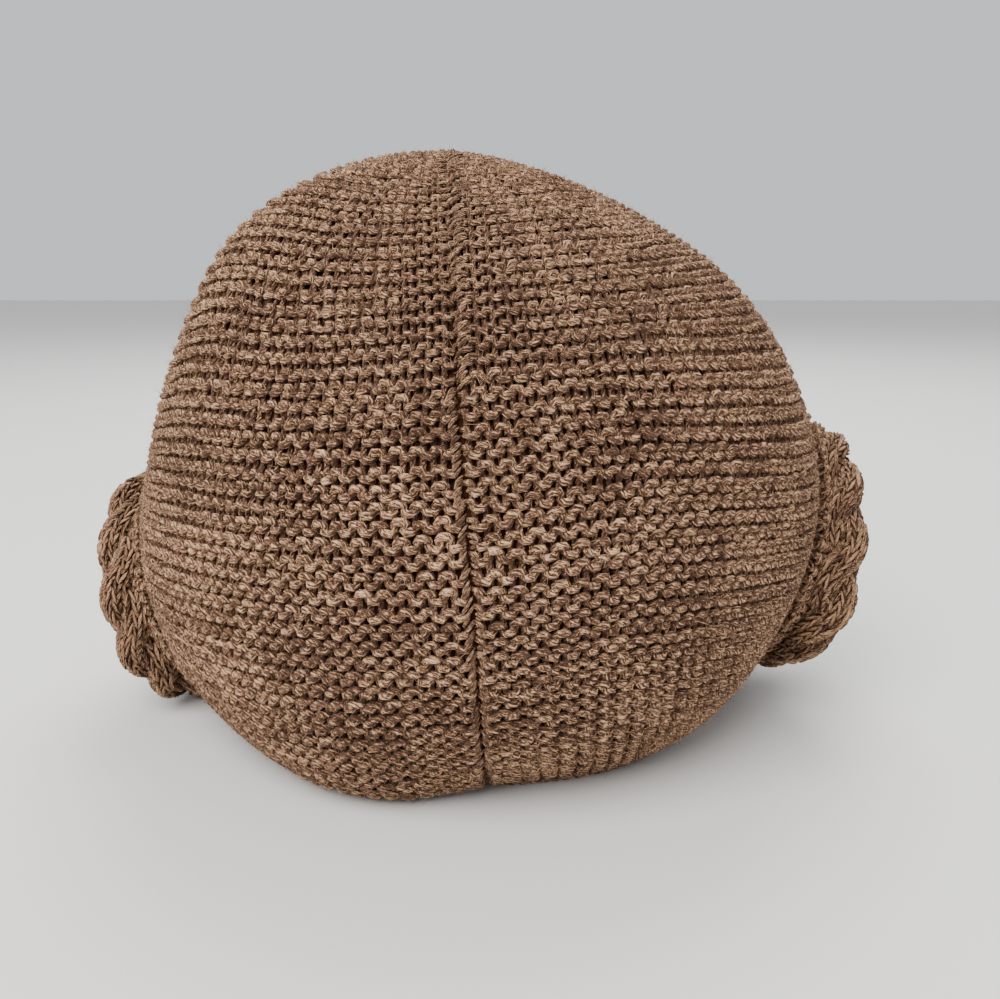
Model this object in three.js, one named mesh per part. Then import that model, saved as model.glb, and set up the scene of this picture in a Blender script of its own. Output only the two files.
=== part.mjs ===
// Knit hat with a round braided ear warmer sewn on at each side, lying with its hem tucked under.
// Millimetres, +Z up, the back of the hat faces -Y.
import * as THREE from 'three';

// Main sizes, mm.
const MIDDLE_HEIGHT = 73;
const LEAN_DEG = 4.2;
const WALL = 4;
const HEM_DOWN = 142;
const ROWS = 24;
const SEAM_DEPTH = 1.3;
const SEAM_HALF_WIDTH = 2.2;
const SKIN_GAP = 0.4;

const PAD_RADIUS = 30;
const PAD_THICK = 1.5;
const PAD_DOME_RADIUS = 11.4;
const PAD_DOME_HEIGHT = 7;

const BRAID_RADIUS = 23.6;
const BRAID_WAVE = 7.2;
const BRAID_LIFT = 4.1;
const BRAID_HOLD = 0.45;
const BRAID_PERIODS = 4;
const STRAND_WIDTH = 7.2;
const STRAND_THICK = 4.1;
const STRAND_STEPS = 60;
const STRAND_SIDES = 7;
const BRAID_FOLLOW = 0.95;

// The two ear warmers: where the middle of each lies on the skin, degrees.
const EAR_WARMERS = [
  { side: 'left', turn: -95, down: 107.5 },
  { side: 'right', turn: 93, down: 110.3 },
];

// Distance from the middle of the hat to its skin, by the angle down from the crown's tip.
const FORM = [
  { down: 0, back: 88.5, right: 88.5, front: 88.5, left: 88.5 },
  { down: 20, back: 85, right: 85, front: 87, left: 90.5 },
  { down: 40, back: 85.5, right: 86, front: 88.5, left: 91.5 },
  { down: 60, back: 89, right: 91.5, front: 91, left: 88 },
  { down: 80, back: 94.5, right: 96.5, front: 94.5, left: 89 },
  { down: 100, back: 99, right: 101, front: 97, left: 96 },
  { down: 120, back: 99, right: 100, front: 98.5, left: 100 },
  { down: 142, back: 95, right: 100, front: 99, left: 101 },
];

// Soft swells (+) and hollows (-): where they lie, how far they spread, how far they push the skin.
const FOLDS = [
  { turn: -52, down: 48, wide: 13, tall: 26, push: 2.6 },
  { turn: -24, down: 60, wide: 15, tall: 34, push: -2.2 },
  { turn: -24, down: 134, wide: 16, tall: 15, push: 6 },
  { turn: 6, down: 140, wide: 9, tall: 12, push: -2 },
  { turn: 44, down: 128, wide: 20, tall: 16, push: 1.6 },
  { turn: 172, down: 66, wide: 30, tall: 20, push: -3 },
];

const radians = (degrees) => (degrees * Math.PI) / 180;

const TIP = new THREE.Vector3(-Math.sin(radians(LEAN_DEG)), 0, Math.cos(radians(LEAN_DEG)));
const SIDE = new THREE.Vector3(Math.cos(radians(LEAN_DEG)), 0, Math.sin(radians(LEAN_DEG)));
const BACK = new THREE.Vector3(0, -1, 0);
const MIDDLE = new THREE.Vector3(0, 0, MIDDLE_HEIGHT);

// Smooth curve through one column of the form table.
function formAt(column, down) {
  const last = FORM.length - 1;
  let i = 0;
  while (i < last - 1 && down > FORM[i + 1].down) {
    i += 1;
  }
  const slope = (k) => {
    const a = FORM[Math.max(k - 1, 0)];
    const b = FORM[Math.min(k + 1, last)];
    return (b[column] - a[column]) / (b.down - a.down);
  };
  const step = FORM[i + 1].down - FORM[i].down;
  const t = (down - FORM[i].down) / step;
  const t2 = t * t;
  const t3 = t2 * t;
  return (2 * t3 - 3 * t2 + 1) * FORM[i][column] + (t3 - 2 * t2 + t) * step * slope(i)
    + (3 * t2 - 2 * t3) * FORM[i + 1][column] + (t3 - t2) * step * slope(i + 1);
}

function foldPush(turn, down) {
  let push = 0;
  for (const fold of FOLDS) {
    const across = ((turn - fold.turn + 540) % 360) - 180;
    const u = (across * Math.sin(radians(down))) / fold.wide;
    const v = (down - fold.down) / fold.tall;
    push += fold.push * Math.exp(-u * u - v * v);
  }
  return push;
}

// Skin distance for a turn round the tip (0 = back, 90 = right) and an angle down from the tip.
function skinDistance(turn, down) {
  const c = Math.cos(radians(turn));
  const s = Math.sin(radians(turn));
  const alongBack = formAt(c > 0 ? 'back' : 'front', down);
  const alongSide = formAt(s > 0 ? 'right' : 'left', down);
  return 1 / Math.hypot(c / alongBack, s / alongSide) + foldPush(turn, down);
}

function seamGroove(turn, down) {
  const across = radians(((turn + 540) % 360) - 180) * Math.sin(radians(down)) * skinDistance(0, down);
  return SEAM_DEPTH * Math.exp(-((across / SEAM_HALF_WIDTH) ** 2)) * Math.min(1, down / 25);
}

function direction(turn, down) {
  const s = Math.sin(radians(down));
  return new THREE.Vector3()
    .addScaledVector(SIDE, s * Math.sin(radians(turn)))
    .addScaledVector(BACK, s * Math.cos(radians(turn)))
    .addScaledVector(TIP, Math.cos(radians(down)));
}

// Point of the outer or inner skin; cloth that would go below its resting level lies flat on it.
function skinPoint(turn, down, depth, level) {
  const distance = skinDistance(turn, down) - depth;
  const point = direction(turn, down).multiplyScalar(distance).add(MIDDLE);
  point.z = Math.max(point.z, level);
  return point;
}

// Turns of the crown's columns, closer together beside the centre-back seam.
function columnTurns() {
  const turns = [0, 1.3, 3];
  for (let turn = 7.5; turn < 352; turn += 7.5) {
    turns.push(turn);
  }
  turns.push(357, 358.7);
  return turns;
}

function closedGeometry(points, faces) {
  const positions = [];
  for (const face of faces) {
    for (const k of face) {
      positions.push(points[k].x, points[k].y, points[k].z);
    }
  }
  const geometry = new THREE.BufferGeometry();
  geometry.setAttribute('position', new THREE.Float32BufferAttribute(positions, 3));
  geometry.computeVertexNormals();
  return geometry;
}

// Joins rings of equal count, outside first, into faces; `pole` closes the first ring on one point.
function bandFaces(faces, ringA, ringB, count) {
  for (let k = 0; k < count; k += 1) {
    const n = (k + 1) % count;
    faces.push([ringA + k, ringB + k, ringB + n]);
    faces.push([ringA + k, ringB + n, ringA + n]);
  }
}

function fanFaces(faces, pole, ring, count, turnedOver) {
  for (let k = 0; k < count; k += 1) {
    const n = (k + 1) % count;
    faces.push(turnedOver ? [pole, ring + n, ring + k] : [pole, ring + k, ring + n]);
  }
}

// Hollow knitted body: outer skin down to the hem, round the lip, and back up inside.
function crownGeometry() {
  const turns = columnTurns();
  const count = turns.length;
  const points = [skinPoint(0, 0, 0, 0)];
  const faces = [];
  const downs = [];
  for (let i = 1; i <= ROWS; i += 1) {
    downs.push((HEM_DOWN * i) / ROWS);
  }
  for (const down of downs) {
    turns.forEach((turn) => points.push(skinPoint(turn, down, seamGroove(turn, down), 0)));
  }
  for (const down of downs.slice().reverse()) {
    turns.forEach((turn) => points.push(skinPoint(turn, down, WALL, WALL)));
  }
  points.push(skinPoint(0, 0, WALL, 0));
  fanFaces(faces, 0, 1, count, false);
  const rings = downs.length * 2;
  for (let i = 0; i < rings - 1; i += 1) {
    bandFaces(faces, 1 + i * count, 1 + (i + 1) * count, count);
  }
  fanFaces(faces, points.length - 1, 1 + (rings - 1) * count, count, true);
  return closedGeometry(points, faces);
}

// Flat frame of an ear warmer: its middle on the skin, `out` away from the head, `up` towards the tip.
function padFrame(turn, down) {
  const middle = skinPoint(turn, down, 0, 0);
  const along = skinPoint(turn, down - 14, 0, 0).sub(skinPoint(turn, down + 14, 0, 0)).normalize();
  const across = skinPoint(turn + 14, down, 0, 0).sub(skinPoint(turn - 14, down, 0, 0)).normalize();
  const out = new THREE.Vector3().crossVectors(across, along).normalize();
  const up = along.clone();
  const right = new THREE.Vector3().crossVectors(up, out).normalize();
  return { middle, out, up, right };
}

// How far the skin lies behind the ear warmer's flat frame at one place.
function dropAt(frame, u, v) {
  const flat = frame.middle.clone().addScaledVector(frame.right, u).addScaledVector(frame.up, v);
  const ray = flat.clone().sub(MIDDLE);
  const length = ray.length();
  ray.normalize();
  const down = THREE.MathUtils.radToDeg(Math.acos(ray.dot(TIP)));
  const turn = THREE.MathUtils.radToDeg(Math.atan2(ray.dot(SIDE), ray.dot(BACK)));
  return (length - skinDistance(turn, down)) * ray.dot(frame.out);
}

function onSkin(frame, u, v, follow) {
  return frame.middle.clone()
    .addScaledVector(frame.right, u)
    .addScaledVector(frame.up, v)
    .addScaledVector(frame.out, -follow * dropAt(frame, u, v));
}

// Direction away from the head at one place of an ear warmer, from the slope of the skin under it.
function outAt(frame, u, v, follow) {
  const across = onSkin(frame, u + 2, v, follow).sub(onSkin(frame, u - 2, v, follow));
  const along = onSkin(frame, u, v + 2, follow).sub(onSkin(frame, u, v - 2, follow));
  return across.cross(along).normalize();
}

function onPad(frame, u, v, height, follow) {
  return onSkin(frame, u, v, follow).addScaledVector(outAt(frame, u, v, follow), height);
}

function padHeight(radius) {
  if (radius >= PAD_DOME_RADIUS) {
    return PAD_THICK * (radius > PAD_RADIUS - 0.5 ? 0.55 : 1);
  }
  const t = radius / PAD_DOME_RADIUS;
  return PAD_THICK + PAD_DOME_HEIGHT * (1 - t * t) ** 0.8;
}

// Thin knitted round that follows the skin, with a low soft dome inside the braid.
function padGeometry(frame) {
  const count = 24;
  const topRadii = [3.6, 6.6, 9.2, 10.7, PAD_DOME_RADIUS, 18, 24, PAD_RADIUS - 1, PAD_RADIUS];
  const backRadii = [PAD_RADIUS - 0.6, 24, 18, 11, 5];
  const points = [onPad(frame, 0, 0, SKIN_GAP + padHeight(0), 1)];
  const ring = (radius, height) => {
    for (let k = 0; k < count; k += 1) {
      const a = (2 * Math.PI * k) / count;
      points.push(onPad(frame, radius * Math.cos(a), radius * Math.sin(a), height, 1));
    }
  };
  topRadii.forEach((radius) => ring(radius, SKIN_GAP + padHeight(radius)));
  backRadii.forEach((radius) => ring(radius, SKIN_GAP));
  points.push(onPad(frame, 0, 0, SKIN_GAP, 1));
  const faces = [];
  fanFaces(faces, 0, 1, count, false);
  const rings = topRadii.length + backRadii.length;
  for (let i = 0; i < rings - 1; i += 1) {
    bandFaces(faces, 1 + i * count, 1 + (i + 1) * count, count);
  }
  fanFaces(faces, points.length - 1, 1 + (rings - 1) * count, count, true);
  return closedGeometry(points, faces);
}

// A strand stays over, or under, its neighbours for most of a crossing, then changes quickly.
function overUnder(phase) {
  const wave = Math.sin(2 * phase);
  return Math.sign(wave) * Math.abs(wave) ** BRAID_HOLD;
}

// Middle of one strand of the ring-shaped plait, and the direction away from the head there.
function strandPlace(frame, strand, angle) {
  const phase = BRAID_PERIODS * angle + (2 * Math.PI * strand) / 3;
  const radius = BRAID_RADIUS + BRAID_WAVE * Math.sin(phase);
  const base = 2 * SKIN_GAP + PAD_THICK + STRAND_THICK / 2;
  const height = base + BRAID_LIFT * (1 + overUnder(phase));
  const u = radius * Math.cos(angle);
  const v = radius * Math.sin(angle);
  return {
    middle: onPad(frame, u, v, height, BRAID_FOLLOW),
    out: outAt(frame, u, v, BRAID_FOLLOW),
  };
}

function strandGeometry(frame, strand) {
  const points = [];
  const faces = [];
  for (let i = 0; i < STRAND_STEPS; i += 1) {
    const angle = (2 * Math.PI * i) / STRAND_STEPS;
    const here = strandPlace(frame, strand, angle);
    const ahead = strandPlace(frame, strand, angle + 0.01).middle;
    const tangent = ahead.sub(strandPlace(frame, strand, angle - 0.01).middle).normalize();
    const wide = new THREE.Vector3().crossVectors(tangent, here.out).normalize();
    const thick = new THREE.Vector3().crossVectors(wide, tangent);
    for (let k = 0; k < STRAND_SIDES; k += 1) {
      const a = (2 * Math.PI * k) / STRAND_SIDES;
      points.push(here.middle.clone()
        .addScaledVector(wide, (STRAND_WIDTH / 2) * Math.cos(a))
        .addScaledVector(thick, (STRAND_THICK / 2) * Math.sin(a)));
    }
  }
  for (let i = 0; i < STRAND_STEPS; i += 1) {
    const next = ((i + 1) % STRAND_STEPS) * STRAND_SIDES;
    bandFaces(faces, i * STRAND_SIDES, next, STRAND_SIDES);
  }
  return closedGeometry(points, faces);
}

function knitMaterial(colour) {
  return new THREE.MeshStandardMaterial({ color: colour, roughness: 0.95, metalness: 0 });
}

function addPiece(group, name, geometry, colour) {
  const mesh = new THREE.Mesh(geometry, knitMaterial(colour));
  mesh.name = name;
  group.add(mesh);
}

function addEarWarmer(group, { side, turn, down }) {
  const frame = padFrame(turn, down);
  addPiece(group, `ear_pad_${side}`, padGeometry(frame), 0x6b5138);
  for (let strand = 0; strand < 3; strand += 1) {
    addPiece(group, `braid_${side}_strand_${strand + 1}`, strandGeometry(frame, strand), 0x73583e);
  }
}

function buildHat() {
  const hat = new THREE.Group();
  hat.name = 'knit_hat';
  addPiece(hat, 'crown', crownGeometry(), 0x70563c);
  EAR_WARMERS.forEach((warmer) => addEarWarmer(hat, warmer));
  const box = new THREE.Box3().setFromObject(hat);
  hat.position.set(-(box.min.x + box.max.x) / 2, -(box.min.y + box.max.y) / 2, -box.min.z);
  return hat;
}

const group = buildHat();

export default group;
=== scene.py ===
# A brown knit hat seen from behind: every course of yarn is laid over the part's own skin.
import math
import bpy
import numpy as np
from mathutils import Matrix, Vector
from mathutils.bvhtree import BVHTree


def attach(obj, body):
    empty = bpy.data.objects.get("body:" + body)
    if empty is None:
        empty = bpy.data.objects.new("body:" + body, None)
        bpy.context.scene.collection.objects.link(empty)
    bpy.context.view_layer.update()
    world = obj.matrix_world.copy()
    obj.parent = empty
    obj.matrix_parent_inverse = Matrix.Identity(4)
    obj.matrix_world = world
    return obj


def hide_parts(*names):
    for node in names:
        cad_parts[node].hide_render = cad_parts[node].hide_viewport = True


MM = 0.001
TAU = 2 * math.pi

# Axes of the crown: turn 0 is the back, turn 90 the right, and angles count down from the leaning tip.
LEAN = math.radians(4.2)
MIDDLE = np.array([-3.84, 0.95, 73.0])
TIP = np.array([-math.sin(LEAN), 0.0, math.cos(LEAN)])
SIDE = np.array([math.cos(LEAN), 0.0, math.sin(LEAN)])
BACK = np.array([0.0, -1.0, 0.0])
BODY_RADIUS = 93.0
HEM_DOWN = 141.0
LAST_DOWN = 143.0

# The skin is sampled on a grid of turns and angles, by rays from outside.
GRID_STEP = 3.0
GRID_DOWN = 144.0
SEAM_BRIDGE = 6
LOWEST_RAY = 138.5
RAY_MISSED = 95.0
RAY_START = 300.0
RAY_LENGTH = 260.0
RAY_NUDGES = (0.013, 0.21, 0.7)
NORMAL_REACH = 1.2
NORMAL_DOWN = 2.0
LEAST_RING = 4
TABLE_GAP = 0.4

CAMERA_PLACE = np.array([5.62, -304.05, 132.2])
CAMERA_PITCH = 13.03
CAMERA_PIXELS = 1050.0
PHOTO_WIDTH = 1000.0
SENSOR_WIDTH = 36.0

LIGHTS = [
    {"name": "key", "place": (-0.36, -0.78, 0.88), "aim": 0.08, "size": 0.9, "power": 23.0,
     "colour": (1.0, 0.98, 0.95)},
    {"name": "fill", "place": (0.9, -0.6, 0.55), "aim": 0.08, "size": 1.0, "power": 0.6,
     "colour": (1.0, 1.0, 1.0)},
    {"name": "rim", "place": (0.1, 0.7, 1.1), "aim": 0.1, "size": 0.9, "power": 16.5,
     "colour": (1.0, 1.0, 1.0)},
]
SKY_COLOUR = (0.9, 0.92, 0.95, 1)
SKY_STRENGTH = 0.85
FLOOR_COLOUR = (0.72, 0.71, 0.69, 1)
FLOOR_HALF = 3.0

# Yarn and stitches of the body, mm.
YARN = 0.95
YARN_SIDES = 5
YARN_FLAT = 0.92
SINK = YARN - 0.25
LEAST_CLEAR = 0.9 * YARN
GROOVE_DEPTH = 1.5
GROOVE_HALF = 1.0
SEAM_RING = 16.0
WALL = 4.0
PIECE_TRIANGLES = 195000
FINE_STEPS = 1441

# Course pitch and stitch width, mm, by the angle down from the tip.
GAUGE = [
    {"down": 0, "pitch": 4.0},
    {"down": 24, "pitch": 4.5},
    {"down": 48, "pitch": 4.4},
    {"down": 66, "pitch": 4.1},
    {"down": 84, "pitch": 3.8},
    {"down": 108, "pitch": 4.0},
    {"down": 142, "pitch": 4.1},
]
STITCHES = [
    {"down": 0, "width": 2.7},
    {"down": 20, "width": 3.1},
    {"down": 45, "width": 3.35},
    {"down": 70, "width": 3.5},
]
OPEN_STRETCH = 1.15

# How far the seam lies to the right of turn 0, mm.
SEAM_LINE = [
    {"down": 20, "aside": 2.2},
    {"down": 55, "aside": 2.9},
    {"down": 95, "aside": 2.9},
    {"down": 120, "aside": 1.7},
    {"down": 141, "aside": 1.2},
]

# Where courses lie above or below their own level, degrees: a crease, a sag and a long drop.
CREASE = {"turn": -50, "down": 56, "wide": 13.0, "high": 24.0, "by": -1.2}
SAG = {"turn": -84, "down": 66, "wide": 24.0, "high": 30.0, "by": 3.0}
DROP = {"by": 8.0, "starts": (14, 78), "stops": (110, 165), "upper": (42, 86), "lower": (98, 141)}

# Where the knitting is stretched open, and where its two bumps a course are even.
OPEN = {"turn": 2.0, "wide": 37.0, "starts": (58, 80)}
EVEN = {"starts": (4, 40), "stops": (120, 165), "eases": (58, 78), "ease": 0.35,
        "tip": (16, 40), "tip_share": 0.7}

# Angles down over which the work changes from its upper to its lower form.
SEAM_OPENS = (58, 74)
GROOVE_STARTS = (42, 72)
ENDS_DIP = (44, 68)
STITCHES_FILL = (96, 122)
HOLD_LOOSENS = (100, 120)
HOLD = 0.62
HOLD_LOSS = 0.42

# How the yarn swings in a stitch: shares of the stitch's width, of the pitch, and depths in mm.
SWING = {"plain": 0.152, "open": 0.014, "full": 0.032, "uneven": 0.012, "drift": 0.22}
RISE = {"plain": 0.665, "even": 0.08, "uneven": 0.05, "peak": 0.9, "blunt": 0.1}
WANDER = {"wobble": 0.09, "uneven": 0.035}
DEPTH = {"plain": 0.85, "even": -0.27, "uneven": 0.05, "swell": 0.13}
THICKNESS = {"closed": -0.12, "right": 0.09, "full": 0.09, "bumps": 0.1, "uneven": 0.03}
FULL_ON_RIGHT = (25, 60)
FULL_WIDTH = 3.45
PULL_LIMITS = (2.5, 6.5)
PULL_SHARES = (0.9, 1.3)
END_LENGTH = 1.3
END_DIP = {"plain": 0.3, "low": 0.7, "sink": 0.6}
# Random tone shifts by stitch and course; the between entry is painted shade, darker where the yarn dips
# between the bumps.
SHADE = {"swell": 0.02, "uneven": 0.02, "course": 0.008, "between": -0.042}
NOISE_SEEDS = (900, 5000, 7000)
NOISE_WAVES = 9

# Phases at which a stitch is drawn: most of them where it is seen best.
BACK_STEPS = np.radians([-50, -18, 18, 50, 90, 130, 162, 198, 230, 270])
SIDE_STEPS = np.radians([-45, 0, 45, 90, 135, 180, 225, 270])
FRONT_STEPS = np.radians([-45, 0, 45, 135, 180, 225])
BACK_REACH = 72
SIDE_REACH = 100

# Loose strands and bars along the seam: ranges of their lengths, places and thickness, mm.
EDGE_STRANDS = 5
EDGE_SLANT = 1.65
EDGE_CLEAR = 0.8
STRAND = {"aside": (0.8, 1.7), "across": (1.4, 2.2), "along": (0.4, 0.65), "out": (-0.3, 0.15),
          "thick": (0.36, 0.5)}
BAR = {"across": (1.2, 2.0), "along": (-0.8, 0.8), "out": (-0.2, 0.1), "thick": (0.4, 0.56)}

# The ear warmers: a ring of plait round a knitted pad.
EAR_WARMERS = [
    {"side": "left", "turn": -95.0, "down": 109.9, "radius": 23.3, "lean": 1.6, "swell": 1.6, "foot": 2.6},
    {"side": "right", "turn": 93.0, "down": 109.4, "radius": 25.0, "lean": 3.0, "swell": 2.6, "foot": 2.2},
]
BRAID_WAVE = 4.1
BRAID_PERIODS = 4
BRAID_BASE = 5.0
BRAID_LIFT = 2.7
BRAID_FOLLOW = 0.95
STRAND_WIDE = 14.0
STRAND_THICK = 7.6
STRAND_SHAPE = 0.85
COURSE = 2.15
WALE = 3.5
PAD_DOME = 12.4
PAD_RIM = 6.5
JOIN_COUNT = 150
HEM_LOOPS = 130

# Colours of the wool: marled from dark to light, ochre in places and cooler mauve in others.
WOOL_DARK = (0.036, 0.0100, 0.0042)
CROWN_WOOL = (WOOL_DARK, (0.163, 0.077, 0.047), (0.90, 0.575, 0.375))
# Painted shade: the plait's wool is the crown's wool made darker, to tone down how brightly the lamps light
# the plait.
BRAID_WOOL = (WOOL_DARK, (0.140, 0.067, 0.041), (0.76, 0.47, 0.305))
# Painted shade: near-black colours for the sheet behind the crown's stitches and for the cores under the
# plait's stitches, standing in for the shadow in the gaps.
CROWN_SHADE = ((0.016, 0.005, 0.002), (0.04, 0.014, 0.007))
BRAID_SHADE = ((0.035, 0.018, 0.010), (0.13, 0.068, 0.038))
STRAY_COLOUR = (0.44, 0.265, 0.165)
OCHRE_CAST = (1.0, 0.99, 0.84)
MAUVE_CAST = (1.0, 0.95, 0.92)
MARL_STOPS = (0.422, 0.508, 0.598)
TWISTS_PER_MM = 0.1
PLIES = 5
FIBRES_ROUND = 18.0
PATCH_SHIFT = 6.0
PLY_SHADE = 0.035
BROAD_SHADE = 0.08
PLY_HEIGHT = 0.35
FIBRE_HEIGHT = 1.9
YARN_BUMP = 0.0006
SHADE_BUMP = 0.0004

# Scales of the noises, finer as they rise.
BROAD_NOISE = 22.0
PATCH_NOISE = 140.0
CAST_NOISE = 420.0
CROWN_SHADE_NOISE = 700.0
BRAID_SHADE_NOISE = 900.0
STRAY_NOISE = 900.0

STRAY_WOOL = {
    "crown_fibres": {"slot": "crown_knit", "count": 42000, "reach": 1.35, "seed": 11},
    "braid_fibres": {"slot": "braid_knit", "count": 9000, "reach": 1.3, "seed": 12},
}

rng = np.random.default_rng(20417)


# Small helpers

def smoothstep(low, high, x):
    t = np.clip((np.asarray(x, float) - low) / (high - low), 0, 1)
    return t * t * (3 - 2 * t)


def unit(v):
    return v / np.linalg.norm(v, axis=-1, keepdims=True)


def safe_unit(v):
    return v / (np.linalg.norm(v, axis=-1, keepdims=True) + 1e-9)


def half_turns(turn):
    """Turns from -180 to 180 for turns from 0 to 360."""
    return np.where(turn > 180, turn - 360, turn)


def run_length(steps):
    """Running total that starts at zero."""
    return np.concatenate([[0], np.cumsum(steps)])


def from_table(table, key, down):
    return np.interp(down, [row["down"] for row in table], [row[key] for row in table])


def keep_above(points, height):
    """Lifts whatever would sink into the table; the points are changed in place."""
    points[..., 2] = np.maximum(points[..., 2], height)
    return points


def to_unit(turn, down):
    """Unit vectors for a turn round the tip and an angle down from it, degrees."""
    t, d = np.radians(turn), np.radians(down)
    s = np.sin(d)
    return (s * np.sin(t))[..., None] * SIDE + (s * np.cos(t))[..., None] * BACK + np.cos(d)[..., None] * TIP


def smooth_noise(seed, count):
    """A wavy function of a turn in degrees, about -1 to 1, that closes on itself."""
    r = np.random.default_rng(seed)
    freq, phase = r.integers(2, 14, count), r.uniform(0, TAU, count)
    size = r.uniform(0.3, 1.0, count) / np.sqrt(count)

    def value(turn):
        t = np.radians(np.asarray(turn))[..., None]
        return (np.sin(t * freq + phase) * size).sum(-1)
    return value


def cubic_weights(f):
    return [
        (-f ** 3 + 3 * f ** 2 - 3 * f + 1) / 6,
        (3 * f ** 3 - 6 * f ** 2 + 4) / 6,
        (-3 * f ** 3 + 3 * f ** 2 + 3 * f + 1) / 6,
        f ** 3 / 6,
    ]


def smooth_sample(grid, y, x):
    """Cubic sampling of a grid that wraps round in x."""
    rows, cols = grid.shape
    yi, xi = np.floor(y).astype(int), np.floor(x).astype(int)
    wy, wx = cubic_weights(y - yi), cubic_weights(x - xi)
    total = np.zeros(np.shape(y))
    for a in range(4):
        ya = np.clip(yi + a - 1, 0, rows - 1)
        for b in range(4):
            total = total + wy[a] * wx[b] * grid[ya, (xi + b - 1) % cols]
    return total


# The skin of the body

class Skin:
    """The crown's outer skin as a smooth grid of distances from the middle of the hat."""

    def __init__(self, crown):
        verts = [v.co / MM for v in crown.data.vertices]
        tree = BVHTree.FromPolygons(verts, [tuple(p.vertices) for p in crown.data.polygons])
        turns = np.arange(-180.0, 180.0, GRID_STEP)
        downs = np.arange(0.0, GRID_DOWN + 0.1, GRID_STEP)
        self.grid = np.zeros((len(downs), len(turns)))
        for i, down in enumerate(downs):
            for k, turn in enumerate(turns):
                self.grid[i, k] = table_limit(cast_reach(tree, turn, min(down, LOWEST_RAY)), turn, down)
        self.bridge_seam(turns)

    def bridge_seam(self, turns):
        """Takes the CAD groove out of the grid, so that the yarn can have its own."""
        seam = np.abs(turns) < SEAM_BRIDGE
        left, right = self.grid[:, turns == -SEAM_BRIDGE], self.grid[:, turns == SEAM_BRIDGE]
        share = (turns[seam] + SEAM_BRIDGE) / (2 * SEAM_BRIDGE)
        self.grid[:, seam] = left * (1 - share) + right * share

    def distance(self, turn, down):
        x = (np.asarray(turn, float) + 180.0) % 360.0 / GRID_STEP
        y = np.clip(np.asarray(down, float), 0, GRID_DOWN) / GRID_STEP
        return smooth_sample(self.grid, y, x)

    def smooth_point(self, turn, down, deep=0.0):
        """Place on the skin without its groove, or some way under it, mm."""
        return MIDDLE + (self.distance(turn, down) - deep)[..., None] * to_unit(turn, down)

    def point(self, turn, down):
        turn, down = np.broadcast_arrays(np.asarray(turn, float), np.asarray(down, float))
        return keep_above(self.smooth_point(turn, down, groove(turn, down)), TABLE_GAP)

    def normal(self, turn, down):
        """Outward unit normals of the smooth skin, the seam's groove left out."""
        turn, down = np.broadcast_arrays(np.asarray(turn, float), np.asarray(down, float))
        low = np.maximum(down, NORMAL_DOWN)
        reach = NORMAL_REACH / np.sin(np.radians(low))
        across = self.smooth_point(turn + reach, low) - self.smooth_point(turn - reach, low)
        along = self.smooth_point(turn, low + NORMAL_REACH) - self.smooth_point(turn, low - NORMAL_REACH)
        return unit(np.cross(along, across))

    def ring(self, down):
        """Radius of the course at an angle down, measured at the back."""
        return self.distance(np.array([0.0]), np.array([down]))[0] * math.sin(math.radians(down))


def cast_reach(tree, turn, down):
    """Distance from the middle to the outside of the CAD crown; the ray is nudged off a shared corner."""
    for nudge in RAY_NUDGES:
        cast = to_unit(np.array(turn + nudge), np.array(abs(down - nudge)))
        hit = tree.ray_cast(Vector(MIDDLE + cast * RAY_START), Vector(-cast), RAY_LENGTH)[0]
        if hit is not None:
            return (np.array(hit) - MIDDLE) @ cast
    return RAY_MISSED


def table_limit(reach, turn, down):
    """Shortens a distance that would end under the table."""
    fall = -to_unit(np.array(turn), np.array(down))[2]
    return min(reach, MIDDLE[2] / fall) if fall > 0 else reach


def seam_turn(down):
    """Turn at which the seam lies, degrees."""
    aside = from_table(SEAM_LINE, "aside", down)
    return np.degrees(aside / np.maximum(BODY_RADIUS * np.sin(np.radians(down)), SEAM_RING))


def groove(turn, down):
    """Depth of the valley along the seam, mm."""
    aside = np.radians((turn - seam_turn(down) + 180.0) % 360.0 - 180.0)
    across = aside * np.sin(np.radians(down)) * BODY_RADIUS
    return GROOVE_DEPTH * np.exp(-(across / GROOVE_HALF) ** 2) * smoothstep(*GROOVE_STARTS, down)


# Meshes

def make_mesh(name, verts, faces, uv=None, tone=None, smooth=True):
    """Builds a mesh object from arrays in millimetres; faces are quads."""
    mesh = bpy.data.meshes.new(name)
    count, size = faces.shape
    mesh.vertices.add(len(verts))
    mesh.vertices.foreach_set("co", (np.asarray(verts, float) * MM).astype(np.float32).ravel())
    mesh.loops.add(count * size)
    mesh.loops.foreach_set("vertex_index", faces.astype(np.int32).ravel())
    mesh.polygons.add(count)
    mesh.polygons.foreach_set("loop_start", np.arange(count, dtype=np.int32) * size)
    mesh.polygons.foreach_set("use_smooth", np.full(count, smooth))
    if uv is not None:
        layer = mesh.uv_layers.new(name="yarn")
        layer.data.foreach_set("uv", uv.astype(np.float32).ravel())
    if tone is not None:
        attr = mesh.attributes.new("tone", "FLOAT", "POINT")
        attr.data.foreach_set("value", tone.astype(np.float32))
    mesh.update(calc_edges=True)
    obj = bpy.data.objects.new(name, mesh)
    bpy.context.scene.collection.objects.link(obj)
    return obj


def grid_mesh(name, grid, uv=None):
    """A sheet from a grid of points that wraps round along its rows."""
    rows, cols = grid.shape[:2]
    i = np.arange(rows - 1)[:, None]
    k = np.arange(cols)[None, :]
    m = (k + 1) % cols
    corners = (i * cols + k, (i + 1) * cols + k, (i + 1) * cols + m, i * cols + m)
    faces = np.stack(np.broadcast_arrays(*corners), -1).reshape(-1, 4)
    loops = None if uv is None else uv.reshape(-1, 2)[faces].reshape(-1, 2)
    return make_mesh(name, grid.reshape(-1, 3), faces, loops)


def dress(obj, mat):
    """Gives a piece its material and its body."""
    obj.data.materials.append(mat)
    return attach(obj, "root")


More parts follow.
